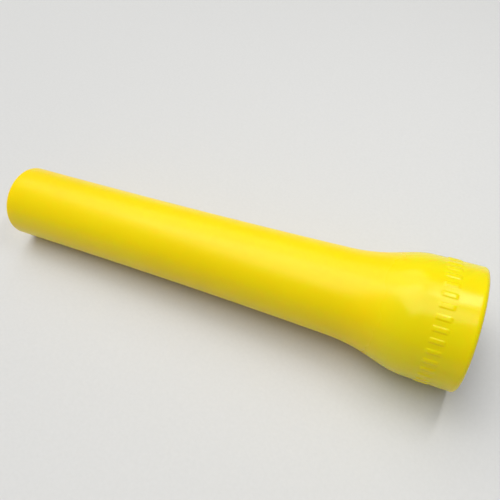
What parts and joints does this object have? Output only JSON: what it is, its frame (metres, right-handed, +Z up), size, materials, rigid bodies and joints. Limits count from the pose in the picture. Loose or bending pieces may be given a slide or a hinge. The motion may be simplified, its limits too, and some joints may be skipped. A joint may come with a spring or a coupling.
{
  "type": "flashlight with signal cone",
  "caption": "Pocket flashlight stowed in its hollow slip-on signal cone, a slim closed tube flaring to a collar. The cone pulls off, the tailcap unscrews, the tail button presses.",
  "frame": {"origin": "on the table under the middle of the assembly's box, as it lies on the cone's tip and the back of its collar", "axes": "+Z up, +X from the cone's closed tip towards the collar's open mouth; the common axis of all the turned pieces rises towards the mouth by 2.467 degrees"},
  "size_m": [0.1752, 0.0414, 0.0414],
  "materials": {
    "cone_plastic": "satin, slightly translucent yellow",
    "anodised_aluminium": "matte black hard-anodised",
    "stainless_steel": "fine turned",
    "lens_glass": "clear with a faint coating",
    "mirror_coating": "polished mirror",
    "black_rubber": "matte",
    "white_nylon": "matte",
    "led_phosphor": "yellow phosphor under a clear dome",
    "led_board_white": "white solder mask",
    "circuit_board": "green solder mask",
    "black_component": "matte moulded",
    "red_insulation": "silicone",
    "black_insulation": "silicone",
    "brass": "turned",
    "gold_plated_spring": "plated wire",
    "cell_wrap": "shrink film",
    "nickel_plate": "nickel-plated"
  },
  "bodies": {
    "cone": {"signal_cone": "cone_plastic"},
    "flashlight": {"head_housing": "anodised_aluminium", "bezel_ring": "stainless_steel", "lens": "lens_glass", "lens_seal": "black_rubber", "reflector": "mirror_coating", "led_board": "led_board_white", "led_emitter": "led_phosphor", "led_gasket": "white_nylon", "led_wire_positive": "red_insulation", "led_wire_negative": "black_insulation", "driver_board": "circuit_board", "driver_inductor": "black_component", "driver_controller": "black_component", "driver_retaining_ring": "brass", "positive_contact_spring": "gold_plated_spring", "body_tube": "anodised_aluminium", "head_seal": "black_rubber", "tail_seal": "black_rubber", "battery_cell": "cell_wrap", "battery_insulator": "white_nylon", "battery_positive_cap": "nickel_plate"},
    "tail_contact": {"tail_spring": "gold_plated_spring"},
    "tailcap": {"tailcap": "anodised_aluminium", "switch_retaining_ring": "brass", "switch_board": "circuit_board", "tail_switch": "black_component"},
    "tail_button": {"tail_button": "black_rubber", "switch_plunger": "white_nylon"}
  },
  "joints": [
    {"name": "cone_pull", "type": "slide", "parent": "cone", "child": "flashlight", "axis": [0.9991, 0, 0.043], "range_m": [0, 0.14]},
    {"name": "tailcap_back_off", "type": "slide", "parent": "flashlight", "child": "tail_contact", "axis": [-0.9991, 0, -0.043], "range_m": [0, 0.00625]},
    {"name": "tailcap_turn", "type": "hinge", "parent": "tail_contact", "child": "tailcap", "pos_m": [-0.03712, 0, 0.01565], "axis": [-0.9991, 0, -0.043], "range_deg": [0, 1801]},
    {"name": "tail_button_press", "type": "slide", "parent": "tailcap", "child": "tail_button", "axis": [0.9991, 0, 0.043], "range_m": [0, 0.0016], "stiffness_N_per_m": 250, "springref_m": -0.003}
  ],
  "couplings": [
    {"joint": "tailcap_turn", "follows": "tailcap_back_off", "rad_per_m": 5026.5}
  ]
}
